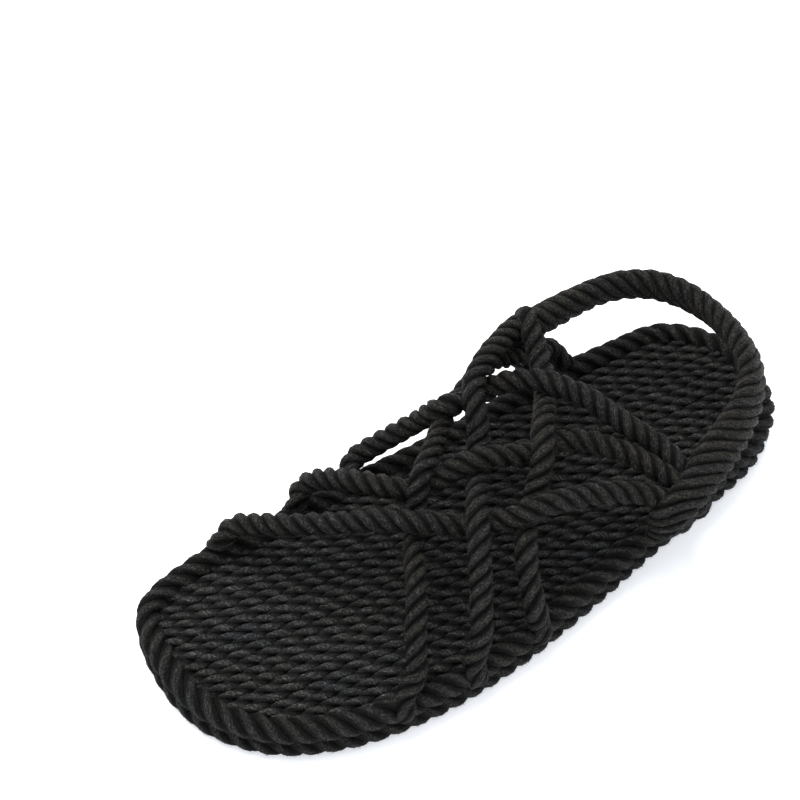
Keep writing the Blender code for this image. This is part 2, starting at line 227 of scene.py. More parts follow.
OUTER_MIDDLE = (
    (47.5, -35.0, 30.0),
    (37.5, -29.0, 38.0),
    (27.5, -23.5, 45.5),
    (17.0, -17.5, 49.0),
    (8.0, -11.5, 48.5),
    (0.0, -5.0, 46.0),
    (-8.0, 0.0, 46.0),
    (-14.0, 4.0, 50.0),
    (-21.0, 6.5, 55.0),
    (-28.0, 10.5, 56.5),
    (-34.0, 18.5, 57.0),
    (-40.0, 30.0, 56.0),
    (-45.0, 42.5, 53.5),
    (-46.5, 52.0, 51.0),
)
OUTER_BACK = (
    (48.5, -12.0, 26.5),
    (40.5, -10.5, 34.5),
    (32.0, -6.5, 40.5),
    (22.5, 0.5, 42.0),
    (16.5, 8.5, 48.5),
    (9.5, 15.0, 56.0),
    (2.0, 20.0, 57.0),
    (-6.0, 27.0, 54.0),
    (-13.5, 33.0, 50.0),
    (-21.5, 38.0, 49.5),
    (-31.0, 42.0, 51.5),
    (-38.5, 44.0, 54.5),
    (-44.0, 45.5, 55.5),
    (-48.5, 48.5, 51.0),
    (-50.0, 51.5, 44.0),
    (-50.0, 54.0, 35.0),
    (-49.0, 56.5, 25.0),
)
# columns: side (+1 outer, -1 inner), along
FEET = {
    "inner_front": (-1, -90.0),
    "inner_middle": (-1, -58.0),
    "inner_back": (-1, -35.0),
    "outer_front": (1, -69.0),
    "outer_middle": (1, -40.0),
    "outer_back": (1, -10.5),
    "outer_knot_front": (1, 57.0),
    "outer_knot_back": (1, 66.5),
    "inner_knot_front": (-1, 57.5),
    "inner_knot_back": (-1, 67.0),
}
# columns: across, along, height, lean in degrees, size left
HEEL_BAND = (
    (-44.5, 44.5, 50.5, 14.0, 0.85),
    (-45.5, 51.0, 49.0, 12.0, 1.08),
    (-46.0, 59.0, 49.0, 12.0, 1.10),
    (-46.0, 70.0, 49.5, 13.0, 1.03),
    (-45.5, 82.0, 49.5, 14.0, 1.0),
    (-42.5, 93.0, 49.5, 15.0, 1.0),
    (-36.5, 102.5, 49.0, 17.0, 1.0),
    (-26.5, 109.5, 48.5, 20.0, 1.0),
    (-14.0, 113.0, 48.0, 26.0, 1.0),
    (-1.0, 113.0, 48.0, 32.0, 1.0),
    (10.0, 110.0, 48.0, 34.0, 1.0),
    (19.0, 104.5, 47.5, 28.0, 1.0),
    (25.5, 97.0, 47.0, 28.0, 1.0),
    (30.0, 89.5, 46.5, 34.0, 1.0),
    (34.0, 81.5, 46.0, 44.0, 1.0),
    (37.0, 74.0, 46.0, 50.0, 1.0),
    (41.5, 64.5, 45.5, 48.0, 0.94),
    (45.5, 55.5, 45.0, 42.0, 0.88),
    (47.5, 48.0, 43.5, 38.0, 0.86),
    (48.0, 43.0, 39.5, 34.0, 0.80),
    (46.0, 41.0, 33.5, 30.0, 0.60),
    (43.0, 43.0, 28.5, 26.0, 0.34),
)
# The fused strands behind the inner knot, going down beside its front leg
# columns: across, along, height
INNER_KNOT_FILL = (
    (-43.0, 40.5, 53.0),
    (-46.0, 42.0, 47.0),
    (-47.0, 44.0, 40.0),
    (-47.0, 46.5, 32.0),
    (-45.5, 49.0, 25.0),
    (-43.0, 51.0, 19.0),
)


def travel(places):
    """The way along a line of places, at each of them."""
    return np.concatenate([[0.0], np.cumsum(np.linalg.norm(np.diff(places, axis=0), axis=1))])


def hermite(stations, tangents, chords, index, part):
    """A place between two stations: part goes from nought at the first to one at the second."""
    chord = chords[index]
    square = part * part
    cube = square * part
    return ((2.0 * cube - 3.0 * square + 1.0) * stations[index]
            + (cube - 2.0 * square + part) * chord * tangents[index]
            + (3.0 * square - 2.0 * cube) * stations[index + 1]
            + (cube - square) * chord * tangents[index + 1])


def spline(rows, closed, steps):
    """Evenly spaced points on a smooth curve through the rows, further columns carried along.

    steps: a function from the curve's length to the number of steps.
    """
    stations = np.array(rows, float)
    spatial = min(3, stations.shape[1])
    if closed:
        stations = np.vstack([stations[-1:], stations, stations[:2]])
    chords = np.linalg.norm(np.diff(stations[:, :spatial], axis=0), axis=1)
    slopes = np.diff(stations, axis=0) / chords[:, None]
    tangents = np.empty_like(stations)
    tangents[0] = slopes[0]
    tangents[-1] = slopes[-1]
    weights = chords[1:, None] / (chords[:-1] + chords[1:])[:, None]
    tangents[1:-1] = slopes[:-1] * weights + slopes[1:] * (1.0 - weights)
    first = 1 if closed else 0
    last = len(stations) - 2 if closed else len(stations) - 1
    dense = []
    for index in range(first, last):
        for part in np.linspace(0.0, 1.0, CURVE_STEPS, endpoint=False):
            dense.append(hermite(stations, tangents, chords, index, part))
    dense.append(stations[last])
    dense = np.array(dense)
    way = travel(dense[:, :spatial])
    marks = np.linspace(0.0, way[-1], steps(way[-1]) + 1)
    even = np.stack([np.interp(marks, way, column) for column in dense.T], axis=1)
    return even[:-1] if closed else even


def sole_edge():
    """The sole's outline and the direction outward at each of its points."""
    edge = spline(SOLE_EDGE, True, lambda length: EDGE_POINTS)
    ahead = np.roll(edge, -1, axis=0) - np.roll(edge, 1, axis=0)
    ahead /= np.linalg.norm(ahead, axis=1)[:, None]
    return edge, np.stack([-ahead[:, 1], ahead[:, 0]], axis=1)


def inset_edge(inset):
    """The sole's outline, drawn in by a distance."""
    edge, outward = sole_edge()
    return edge - outward * inset


def foot(side, along):
    """A rope end that wraps the top border.

    columns: across, along, height, three of the squash, width left
    """
    edge, outward = sole_edge()
    candidates = np.where(edge[:, 0] * side > 0.0)[0]
    nearest = candidates[np.argmin(np.abs(edge[candidates, 1] - along))]
    normal = outward[nearest]
    centre = edge[nearest] - normal * ROPE_RADIUS
    rows = []
    for turn, reach, thickness, width in FOOT_WRAP:
        out = math.cos(math.radians(turn))
        up = math.sin(math.radians(turn))
        radial = np.array([normal[0] * out, normal[1] * out, up])
        place = np.array([centre[0], centre[1], BORDER_TOP_HEIGHT]) + radial * reach
        squash = radial * math.sqrt(1.0 - thickness)
        rows.append((*place, *squash, width))
    return rows


def route(start, rows, end=None):
    """A lacing rope's whole way, in the columns of foot."""
    path = foot(*FEET[start]) + [(*row, 0.0, 0.0, 0.0, 1.0) for row in rows]
    if end:
        path += foot(*FEET[end])[::-1]
    return path


def carried(places, closed):
    """The direction ahead and two directions square to it, carried along without twisting."""
    if closed:
        ahead = np.roll(places, -1, axis=0) - np.roll(places, 1, axis=0)
    else:
        ahead = np.gradient(places, axis=0)
    ahead /= np.linalg.norm(ahead, axis=1)[:, None]
    first = np.cross(ahead[0], (0.0, 0.0, 1.0))
    if np.linalg.norm(first) < 1e-6:
        first = np.array([1.0, 0.0, 0.0])
    first /= np.linalg.norm(first)
    sides = [first]
    for direction in ahead[1:]:
        side = sides[-1] - direction * np.dot(sides[-1], direction)
        sides.append(side / np.linalg.norm(side))
    sides = np.array(sides)
    return ahead, sides, np.cross(ahead, sides)


class Bundle:
    """Closed bodies gathered into one mesh, with what the material needs at each point.

    maps: the yarns' map, at each corner of each face; tones: a number for each strand;
    fibres: where the fibre pattern is read; crowns: one on a rope's open side and nought in
    its middle; arms: the direction out from the strand's own middle.
    """

    def __init__(self):
        self.points = []
        self.faces = []
        self.maps = []
        self.tones = []
        self.fibres = []
        self.crowns = []
        self.arms = []
        self.count = 0

    def tube(self, rings, along, total, yarn_turn, tone, closed, radius, outward):
        """A strand, left open at its ends unless it is closed to a ring.

        rings: steps x corners x 3, in millimetres; along: travel at each ring; total: travel
        at the end; radius: the strand's; outward: towards the rope's open side at each ring.
        """
        steps, corners, _ = rings.shape
        arms = rings - rings.mean(axis=1, keepdims=True)
        arms /= np.linalg.norm(arms, axis=2, keepdims=True) + 1e-9
        rings = rings + arms * FRAY.normal(0.0, UNEVENNESS, (steps, corners, 1))
        outward = outward / (np.linalg.norm(outward, axis=1, keepdims=True) + 1e-9)
        self.crowns.append(((arms * outward[:, None, :]).sum(axis=2) * 0.5 + 0.5).reshape(-1))
        self.points.append(rings.reshape(-1, 3))
        self.arms.append(arms.reshape(-1, 3))
        index = np.arange(steps * corners).reshape(steps, corners) + self.count
        here = index if closed else index[:-1]
        there = np.roll(index, -1, axis=0) if closed else index[1:]
        quads = np.stack([here, np.roll(here, -1, axis=1),
                          np.roll(there, -1, axis=1), there], axis=-1)
        self.faces.append(quads.reshape(-1, 4))
        spans = len(here)
        after = np.append(along[1:], total)[:spans]
        u0 = np.repeat(along[:spans, None], corners, axis=1)
        u1 = np.repeat(after[:, None], corners, axis=1)
        v0 = np.repeat(np.arange(corners)[None, :] / corners, spans, axis=0)
        v1 = v0 + 1.0 / corners
        turn0 = u0 * yarn_turn
        turn1 = u1 * yarn_turn
        corner_map = np.stack([
            np.stack([u0, v0 + turn0], axis=-1),
            np.stack([u0, v1 + turn0], axis=-1),
            np.stack([u1, v1 + turn1], axis=-1),
            np.stack([u1, v0 + turn1], axis=-1)], axis=2)
        corner_map[..., 0] *= 0.1
        self.maps.append(corner_map.reshape(-1, 2))
        part = np.arange(corners)[None, :] / corners
        angle = 2.0 * math.pi * (part + along[:, None] * yarn_turn)
        # the tone moves the pattern on, so that no two strands have the same fibres
        lengthwise = np.repeat(along[:, None], corners, axis=1) * FIBRE_STRETCH + tone * 37.0
        fibre = np.stack([radius * np.cos(angle), radius * np.sin(angle), lengthwise], axis=-1)
        self.fibres.append(fibre.reshape(-1, 3))
        self.tones.append(np.full(steps * corners, tone))
        self.count += steps * corners

    def cap(self, rings, tone):
        """Close both ends of the last tube with triangles to the middle of its end rings."""
        steps, corners, _ = rings.shape
        base = self.count - steps * corners
        for row, start in ((0, base), (steps - 1, base + (steps - 1) * corners)):
            middle = rings[row].mean(axis=0)
            self.points.append(middle[None, :])
            self.arms.append(np.array([[0.0, 0.0, 1.0]]))
            self.fibres.append(middle[None, :])
            self.tones.append(np.array([tone]))
            self.crowns.append(np.array([0.5]))
            centre = self.count
            self.count += 1
            ring = start + np.arange(corners)
            after = np.roll(ring, -1)
            order = (after, ring) if row == 0 else (ring, after)
            third = np.full(corners, centre)
            # a triangle is written as a quad with its last corner repeated, and mended in build
            self.faces.append(np.stack([order[0], order[1], third, third], axis=-1))
            self.maps.append(np.zeros((corners * 4, 2)))

    def fray(self, amount, longest):
        """Loose fibres: thin closed three-sided spikes off the open sides of the strands."""
        points = np.vstack(self.points)
        open_side = np.flatnonzero(np.concatenate(self.crowns) > 0.60)
        roots = FRAY.choice(open_side, amount, replace=False)
        away = np.vstack(self.arms)[roots]
        lean = FRAY.normal(size=(amount, 3))
        lean -= (lean * away).sum(axis=1, keepdims=True) * away
        lean /= np.linalg.norm(lean, axis=1, keepdims=True)
        reach = longest * FRAY.uniform(0.35, 1.0, (amount, 1))
        rise = FRAY.uniform(0.10, 0.75, (amount, 1))
        thick = FRAY.uniform(0.04, 0.065, (amount, 1))
        side = np.cross(away, lean)
        lengthwise = away * rise + lean
        lengthwise /= np.linalg.norm(lengthwise, axis=1, keepdims=True)
        other = np.cross(lengthwise, side)
        root = points[roots] - away * 0.05
        corners = [root + thick * (side * math.cos(turn) + other * math.sin(turn))
                   for turn in (0.0, 2.0 * math.pi / 3.0, 4.0 * math.pi / 3.0)]
        spikes = np.stack([*corners, root + lengthwise * reach], axis=1)
        spikes[..., 2] = np.maximum(spikes[..., 2], FIBRE_FLOOR)
        first = self.count + 4 * np.arange(amount)[:, None]
        self.points.append(spikes.reshape(-1, 3))
        self.arms.append(np.repeat(away, 4, axis=0))
        for face in ((0, 1, 3, 3), (1, 2, 3, 3), (2, 0, 3, 3), (0, 2, 1, 1)):
            self.faces.append(first + np.array([face]))
            self.maps.append(np.zeros((amount * 4, 2)))
        self.fibres.append(np.repeat(np.vstack(self.fibres)[roots], 4, axis=0))
        self.tones.append(np.repeat(np.concatenate(self.tones)[roots], 4))
        self.crowns.append(np.ones(amount * 4))
        self.count += amount * 4

    def build(self, name):
        """The mesh, in metres, with nothing below the floor."""
        points = (np.vstack(self.points) + SHIFT) * MM
        points[:, 2] = np.maximum(points[:, 2], 0.0)
        faces = np.vstack(self.faces)
        maps = np.vstack(self.maps).reshape(-1, 4, 2)
        triangle = faces[:, 2] == faces[:, 3]
        sizes = np.where(triangle, 3, 4)
        keep = np.ones(faces.shape, bool)
        keep[triangle, 3] = False
        loops = faces[keep]
        data = bpy.data.meshes.new(name)
        data.vertices.add(len(points))
        data.vertices.foreach_set("co", points.astype(np.float32).ravel())
        data.loops.add(len(loops))
        data.loops.foreach_set("vertex_index", loops.astype(np.int32))
        data.polygons.add(len(faces))
        starts = np.concatenate([[0], np.cumsum(sizes)[:-1]])
        data.polygons.foreach_set("loop_start", starts.astype(np.int32))
        data.polygons.foreach_set("loop_total", sizes.astype(np.int32))
        data.polygons.foreach_set("use_smooth", np.ones(len(faces), bool))
        layer = data.uv_layers.new(name="yarns")
        layer.data.foreach_set("uv", maps[keep].astype(np.float32).ravel())
        tone = data.attributes.new("tone", "FLOAT", "POINT")
        tone.data.foreach_set("value", np.concatenate(self.tones).astype(np.float32))
        crown = data.attributes.new("crown", "FLOAT", "POINT")
        crown.data.foreach_set("value", np.concatenate(self.crowns).astype(np.float32))
        fibre = data.attributes.new("fibre", "FLOAT_VECTOR", "POINT")
        fibre.data.foreach_set("vector", np.vstack(self.fibres).astype(np.float32).ravel())
        data.update(calc_edges=True)
        data.validate()
        return data


def round_rings(line, radius):
    """Round rings square to a strand's own centre line, with a radius for each."""
    _, sides, rises = carried(line, False)
    turns = 2.0 * math.pi * np.arange(STRAND_CORNERS) / STRAND_CORNERS
    cos = np.cos(turns)[None, :, None]
    sin = np.sin(turns)[None, :, None]
    size = radius[:, None, None]
    return line[:, None, :] + size * (cos * sides[:, None, :] + sin * rises[:, None, :])


def lay_rope(bundle, rows, phase, fullness):
    """A lacing rope: three round strands laid right-handed round its route."""
    path = spline(rows, False,
                  lambda length: int(round(length / LACING_LAY * LACING_STEPS_PER_LAY)))
    places = path[:, :3]
    along = travel(places)
    _, sides, rises = carried(places, False)
    width = path[:, 6] * fullness
    # the lay hurries and lags a little along the rope
    wander = 0.10 * (np.sin(along * 0.21 + phase * 5.0) + np.sin(along * 0.083 + phase * 11.0))
    for strand in range(ROPE_STRANDS):
        angle = 2.0 * math.pi * (along / LACING_LAY + strand / ROPE_STRANDS + phase) + wander
        reach = ROPE_RADIUS * STRAND_REACH * width
        line = (places + (np.cos(angle) * reach)[:, None] * sides
                + (np.sin(angle) * reach)[:, None] * rises)
        swell = ROPE_RADIUS * STRAND_RADIUS * (1.0 + 0.03 * math.sin(strand * 2.1 + phase * 9.0))
        rings = round_rings(line, swell * width)
        squash = path[:, None, 3:6]
        offset = rings - places[:, None, :]
        rings = rings - squash * (offset * squash).sum(axis=2, keepdims=True)
        tone = RNG.rand()
        bundle.tube(rings, along, along[-1], YARN_TURN, tone, False, swell, line - places)
        bundle.cap(rings, tone)


def wedge(outer, groove, squareness, strands):
    """The section of a strand pressed against its neighbours: turns and reaches round the rope.

    outer: corners on its open side; groove, squareness: how deep and how narrow the grooves are.
    """
    turns = np.linspace(-1.0, 1.0, outer)
    reaches = 1.0 - groove * np.abs(turns) ** squareness
    turns = np.concatenate([turns * STRAND_OVERLAP, [0.80, 0.0, -0.80]]) * math.pi / strands
    return turns, np.concatenate([reaches, [0.45, 0.25, 0.45]])


def lay_wedges(bundle, places, radius, turns_along, closed, phase, section, strands,
               yarn_turn):
    """Pressed strands laid right-handed round a path: shallow grooves across a full round rope."""
    along = travel(places)
    total = along[-1] + (np.linalg.norm(places[0] - places[-1]) if closed else 0.0)
    _, sides, rises = carried(places, closed)
    section_turns, section_reaches = section
    for strand in range(strands):
        angle = 2.0 * math.pi * (turns_along + strand / strands + phase)
        angle = angle[:, None] + section_turns[None, :]
        swell = radius * np.ones(len(places))
        if not closed:
            swell = swell * (1.0 + 0.03 * np.sin(along * 0.31 + strand * 2.0 + phase * 9.0))
        reach = swell[:, None] * section_reaches[None, :]
        rings = (places[:, None, :] + (np.cos(angle) * reach)[..., None] * sides[:, None, :]
                 + (np.sin(angle) * reach)[..., None] * rises[:, None, :])
        tone = RNG.rand()
        bundle.tube(rings, along, total, yarn_turn, tone, closed, radius * 0.5,
                    rings.mean(axis=1) - places)
        if not closed:
            bundle.cap(rings, tone)


def oval_points(wide, thin, parts):
    """Places at even distances round an oval: parts is an array of fractions of the way round."""
    angles = np.linspace(0.0, 2.0 * math.pi, OVAL_POINTS)
    across = np.sign(np.cos(angles)) * np.abs(np.cos(angles)) ** 0.8 * wide
    through = np.sign(np.sin(angles)) * np.abs(np.sin(angles)) ** 0.8 * thin
    along = travel(np.column_stack([across, through]))
    parts = np.mod(parts, 1.0)
    marks = along / along[-1]
    return np.interp(parts, marks, across), np.interp(parts, marks, through)


def lay_band(bundle):
    """Six strands laid into the flat oval heel strap."""
    path = spline(HEEL_BAND, False, lambda length: int(round(length / BAND_STEP)))
    places = path[:, :3]
    ahead, _, _ = carried(places, False)
    along = travel(places)
    inward = np.cross((0.0, 0.0, 1.0), ahead)
    middle = places[:, :2].mean(axis=0)
    flip = np.where(((middle - places[:, :2]) * inward[:, :2]).sum(axis=1) < 0.0, -1.0, 1.0)
    inward = inward * flip[:, None]
    lean = np.radians(path[:, 3])
    upright = np.array([0.0, 0.0, 1.0])
    broad = upright * np.cos(lean)[:, None] + inward * np.sin(lean)[:, None]
    broad -= ahead * (broad * ahead).sum(axis=1)[:, None]
    broad /= np.linalg.norm(broad, axis=1)[:, None]
    thin = np.cross(ahead, broad)
    strand = BAND_STRAND_RADIUS
    size = path[:, 4]
    for index in range(BAND_STRANDS):
        parts = along / BAND_LAY + index / BAND_STRANDS
        across, through = oval_points(BAND_WIDE - strand + 0.1, BAND_THIN - strand + 0.1, parts)
        line = places + (across * size)[:, None] * broad + (through * size)[:, None] * thin
        rings = round_rings(line, strand * size)
        tone = RNG.rand()
        open_side = ((across / BAND_WIDE ** 2)[:, None] * broad
                     + (through / BAND_THIN ** 2)[:, None] * thin)
        bundle.tube(rings, along, along[-1], YARN_TURN, tone, False, strand, open_side)
        bundle.cap(rings, tone)


def row_span(edge, x):
    """The lowest and highest place along the sole where a row at x meets the mat's edge."""
    after = np.roll(edge, -1, axis=0)
    crossing = (edge[:, 0] - x) * (after[:, 0] - x) <= 0.0
    part = (x - edge[crossing, 0]) / (after[crossing, 0] - edge[crossing, 0] + 1e-9)
    where = edge[crossing, 1] + part * (after[crossing, 1] - edge[crossing, 1])
    return (where.min(), where.max()) if len(where) > 1 else None


def lay_rows(bundle, height, outer, steps_per_lay, lively):
    """Lengthwise rows of laid cord, pressed side by side, their ends under the border.

    outer: corners on a strand's open side; lively: how much the rows wander, from nought to one.
    """
    edge = inset_edge(MAT_INSET - ROW_TUCK)
    section = wedge(outer, 0.42, 2.4, ROW_STRANDS)
    first = ROW_MIDDLE - ROW_PITCH * (ROW_COUNT - 1) / 2.0
    for row in range(ROW_COUNT):
        x = first + row * ROW_PITCH
        span = row_span(edge, x)
        if span is None or span[1] - span[0] < SHORTEST_ROW:
            continue
        low, high = span
        count = int(round((high - low) / ROW_LAY * steps_per_lay))
        y = np.linspace(low, high, count + 1)
        phase = RNG.rand()
        drift = lively * (0.20 * np.sin(y * 0.05 + phase * 6.3)
                          + 0.10 * np.sin(y * 0.19 + phase * 17.0))
        lift = lively * (0.10 * np.sin(y * 0.09 + phase * 12.0) + 0.16 * (RNG.rand() - 0.5))
        places = np.stack([x + drift, y, height + lift], axis=1)
        turns = ((y - low) / (ROW_LAY * (0.98 + 0.04 * RNG.rand()))
                 + 0.05 * np.sin(y * 0.13 + phase * 8.0))
        lay_wedges(bundle, places, ROW_RADIUS, turns, False, phase, section, ROW_STRANDS,
                   ROW_YARN_TURN)


def plate(bundle, low, high):
    """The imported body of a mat, between and under its rows: a closed slab with flat faces."""
    edge = spline(inset_edge(PLATE_INSET)[::EDGE_THINNING], True, lambda length: PLATE_POINTS)
    count = len(edge)
    middle = edge.mean(axis=0)
    rings = [np.column_stack([edge, np.full(count, level)]) for level in (low, high)]
    places = np.vstack([*rings, *rings, [[*middle, low]], [[*middle, high]]])
    index = bundle.count + np.arange(count)
    after = np.roll(index, -1)
    bottom = np.full(count, bundle.count + 4 * count)
    bundle.faces.append(np.stack([index, after, bottom, bottom], axis=-1))
    bundle.faces.append(np.stack([after + count, index + count, bottom + 1, bottom + 1], axis=-1))
    bundle.faces.append(np.stack([after + 2 * count, index + 2 * count,
                                  index + 3 * count, after + 3 * count], axis=-1))
    bundle.points.append(places)
    bundle.fibres.append(places)
    bundle.arms.append(np.repeat([[0.0, 0.0, 1.0]], len(places), axis=0))
    bundle.tones.append(np.full(len(places), 0.3))
    # painted shade: this low crown gives the plate the dark groove colour where it shows between
    # the rows
    bundle.crowns.append(np.full(len(places), 0.3))
    bundle.maps.append(np.zeros((count * 12, 2)))
    bundle.count += len(places)


def rope_material(name, painted_groove_shade, crown, warm, yarns, yarn_depth, fibre_depth, roughness, groove):
    """Laid cord: yarn lines across each strand, bright and dark fibres, painted glints, painted
    shade in the grooves, slow changes of tone.

    The grooves' colour is painted shade, and crown is the colour of the open sides; warm: tint of
    the warmer parts;
    yarns: how many a strand has; groove: how high on the strand the grooves' painted shade ends.
    """
    made = bpy.data.materials.new(name)
    made.use_nodes = True
    tree = made.node_tree
    tree.nodes.clear()

    def add(kind, settings=(), **links):
        node = tree.nodes.new(kind)
        for key, value in settings:
            setattr(node, key, value)
        for key, value in links.items():
            numbered = key[0] == "i" and key[1:].isdigit()
            socket = node.inputs[int(key[1:]) if numbered else key]
            if isinstance(value, bpy.types.NodeSocket):
                tree.links.new(value, socket)
            else:
                socket.default_value = value
        return node

    def calculate(operation, first, second=0.0, third=0.0):
        node = add("ShaderNodeMath", (("operation", operation),), i0=first, i1=second, i2=third)
        return node.outputs[0]

    def spread(value, low, high):
        """Stretch the middle of a noise to the whole range from nought to one."""
        node = add("ShaderNodeMapRange", (("interpolation_type", "SMOOTHSTEP"),),
                   i0=value, i1=low, i2=high)
        return node.outputs[0]

    def noise(vector, scale, detail, rough=0.5):
        node = add("ShaderNodeTexNoise", i0=vector, Scale=scale, Detail=detail, Roughness=rough)
        return node.outputs["Fac"]

    def attribute(layer, output):
        return add("ShaderNodeAttribute", (("attribute_name", layer),)).outputs[output]

    shader = add("ShaderNodeBsdfPrincipled")
    out = add("ShaderNodeOutputMaterial")
    tree.links.new(shader.outputs[0], out.inputs[0])
    yarn_map = add("ShaderNodeUVMap", (("uv_map", "yarns"),)).outputs[0]
    across = add("ShaderNodeSeparateXYZ", i0=yarn_map).outputs[1]
    fibre = attribute("fibre", "Vector")
    tone = attribute("tone", "Fac")
    place = add("ShaderNodeTexCoord").outputs["Object"]
    fleck = spread(noise(fibre, 1.7, 3.0, 0.75), 0.43, 0.61)
    # painted glints: bright specks put into the colour as highlights
    painted_glint = spread(noise(fibre, 2.6, 1.0), 0.60, 0.72)
    speckle = spread(noise(place, 1500.0, 2.0, 0.7), 0.44, 0.62)
    slow = noise(place, 55.0, 2.0)

    wave = calculate("SINE", calculate("MULTIPLY", across, 2.0 * math.pi * yarns))
    ridge = calculate("MULTIPLY_ADD", wave, 0.5, 0.5)
    height = calculate("ADD", calculate("MULTIPLY", ridge, yarn_depth),
                       calculate("MULTIPLY", fleck, fibre_depth))
    height = calculate("ADD", height, calculate("MULTIPLY", speckle, 0.16))
    bump = add("ShaderNodeBump", Height=height, Distance=0.001, Strength=1.0)
    tree.links.new(bump.outputs[0], shader.inputs["Normal"])

    fibre_tone_and_painted_light = calculate("ADD", calculate("MULTIPLY", fleck, 0.50), calculate("MULTIPLY", ridge, 0.12))
    fibre_tone_and_painted_light = calculate("ADD", fibre_tone_and_painted_light, calculate("MULTIPLY", calculate("POWER", speckle, 1.8), 0.95))
    fibre_tone_and_painted_light = calculate("ADD", fibre_tone_and_painted_light, calculate("MULTIPLY", painted_glint, 1.2))
    # painted shade: the grooves are darkened towards the painted shade colour, and the open sides
    # keep the crown colour
    painted_shade_mask = calculate("MULTIPLY", spread(attribute("crown", "Fac"), groove, 1.0), 1.05)
    fibre_tone_and_painted_light = calculate("MULTIPLY", fibre_tone_and_painted_light, calculate("ADD", painted_shade_mask, 0.10))
    # the colour runs from the painted groove shade to the crown colour
    colour_with_painted_shade = add("ShaderNodeMix", (("data_type", "RGBA"),),
                i0=fibre_tone_and_painted_light, i6=(*painted_groove_shade, 1.0), i7=(*crown, 1.0))
    colour_with_painted_shade.clamp_factor = False
    blend = calculate("ADD", calculate("MULTIPLY", slow, 0.85), calculate("MULTIPLY", tone, 0.15))
    hue = add("ShaderNodeValToRGB", i0=blend)
    cool_end, warm_end = hue.color_ramp.elements
    cool_end.position = 0.38
    cool_end.color = (0.95, 0.98, 1.04, 1.0)
    warm_end.position = 0.60
    warm_end.color = (*warm, 1.0)
    mixed = add("ShaderNodeMix", (("data_type", "RGBA"), ("blend_type", "MULTIPLY")), i0=1.0,
                i6=colour_with_painted_shade.outputs[2], i7=hue.outputs[0])
    tree.links.new(mixed.outputs[2], shader.inputs["Base Color"])
    rough = add("ShaderNodeMapRange", i0=fleck, i3=roughness + 0.12, i4=roughness - 0.1)
    tree.links.new(rough.outputs[0], shader.inputs["Roughness"])
    shader.inputs["Specular IOR Level"].default_value = 0.10
    return made


def add_piece(name, bundle, made, slot, *nodes):
    """A visible piece that replaces the named solids of the part."""
    piece = bpy.data.objects.new(name, bundle.build(name))
    bpy.context.scene.collection.objects.link(piece)
    piece.data.materials.append(made)
    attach(piece, "root")
    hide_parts(*nodes)


# Each cord's first colour is painted shade for its grooves; crown is the colour of its open sides
LACING = rope_material(
    "lacing_cord", painted_groove_shade=(0.0022, 0.0022, 0.0025), crown=(0.0290, 0.0285, 0.0259),
    warm=(1.05, 1.0, 0.90), yarns=11.0, yarn_depth=0.26, fibre_depth=0.50, roughness=0.60,
    groove=0.70)
BORDER = rope_material(
    "border_cord", painted_groove_shade=(0.0030, 0.0030, 0.0033), crown=(0.0465, 0.0460, 0.0443),
    warm=(1.03, 1.0, 0.93), yarns=11.0, yarn_depth=0.22, fibre_depth=0.62, roughness=0.62,
    groove=0.58)
ROWS = rope_material(
    "footbed_cord", painted_groove_shade=(0.0070, 0.0070, 0.0075), crown=(0.0700, 0.0696, 0.0684),
    warm=(1.02, 1.0, 0.95), yarns=7.0, yarn_depth=0.18, fibre_depth=0.80, roughness=0.62,
    groove=0.46)

# Lacing ropes, knots, legs and heel strap
lacing = Bundle()
for number, (rope_route, fullness) in enumerate((
        (route("inner_front", INNER_FRONT, "outer_knot_front"), FULLNESS),
        (route("inner_middle", INNER_MIDDLE), FULLNESS),
        (route("inner_back", INNER_BACK, "outer_knot_back"), FULLNESS),
        (route("outer_front", OUTER_FRONT, "inner_knot_back"), FRONT_OUTER_FULLNESS),
        (route("outer_middle", OUTER_MIDDLE), FULLNESS),
        (route("outer_back", OUTER_BACK, "inner_knot_front"), FULLNESS))):
    lay_rope(lacing, rope_route, 0.13 * number, fullness)
lay_band(lacing)
fill = spline(INNER_KNOT_FILL, False, lambda length: int(round(length / KNOT_FILL_STEP)))
lay_wedges(lacing, fill, KNOT_FILL_RADIUS, travel(fill) / KNOT_FILL_LAY, False, 0.3,
           wedge(11, 0.25, 2.2, ROPE_STRANDS), ROPE_STRANDS, YARN_TURN)
lacing.fray(*LACING_FIBRES)
add_piece("woven_lacing", lacing, LACING, "lacing_rope", "upper")

# Border ropes, each a closed ring of whole lays
BORDER_SECTION = wedge(13, 0.38, 2.6, ROPE_STRANDS)
for name, node, height, radius, phase in (
        ("upper_border", "border_top", BORDER_TOP_HEIGHT, ROPE_RADIUS, 0.0),
        ("lower_border", "border_bottom", BORDER_BOTTOM_HEIGHT, BORDER_BOTTOM_RADIUS, 0.4)):
    ring = inset_edge(ROPE_RADIUS)
    from_join = np.hypot(ring[:, 0] - BORDER_JOIN[0], ring[:, 1] - BORDER_JOIN[1])
    ring = np.roll(ring, -int(np.argmin(from_join)), axis=0)
    whole = int(round(travel(ring)[-1] / BORDER_LAY))
    ring = spline(ring[::EDGE_THINNING], True, lambda length: whole * BORDER_STEPS_PER_LAY)
    places = np.column_stack([ring, np.full(len(ring), height)])
    turns = np.arange(len(ring)) / BORDER_STEPS_PER_LAY
    # the lay is a little shorter here and longer there, and whole again at the join
    turns = turns + (0.04 * np.sin(turns * 2.0 * math.pi * 3.0 / whole)
                     * np.sin(turns * 2.0 * math.pi * 5.0 / whole))
    border = Bundle()
    lay_wedges(border, places, radius, turns, True, phase, BORDER_SECTION, ROPE_STRANDS,
               BORDER_YARN_TURN)
    border.fray(*BORDER_FIBRES)
    add_piece(name, border, BORDER, "border_rope", node)

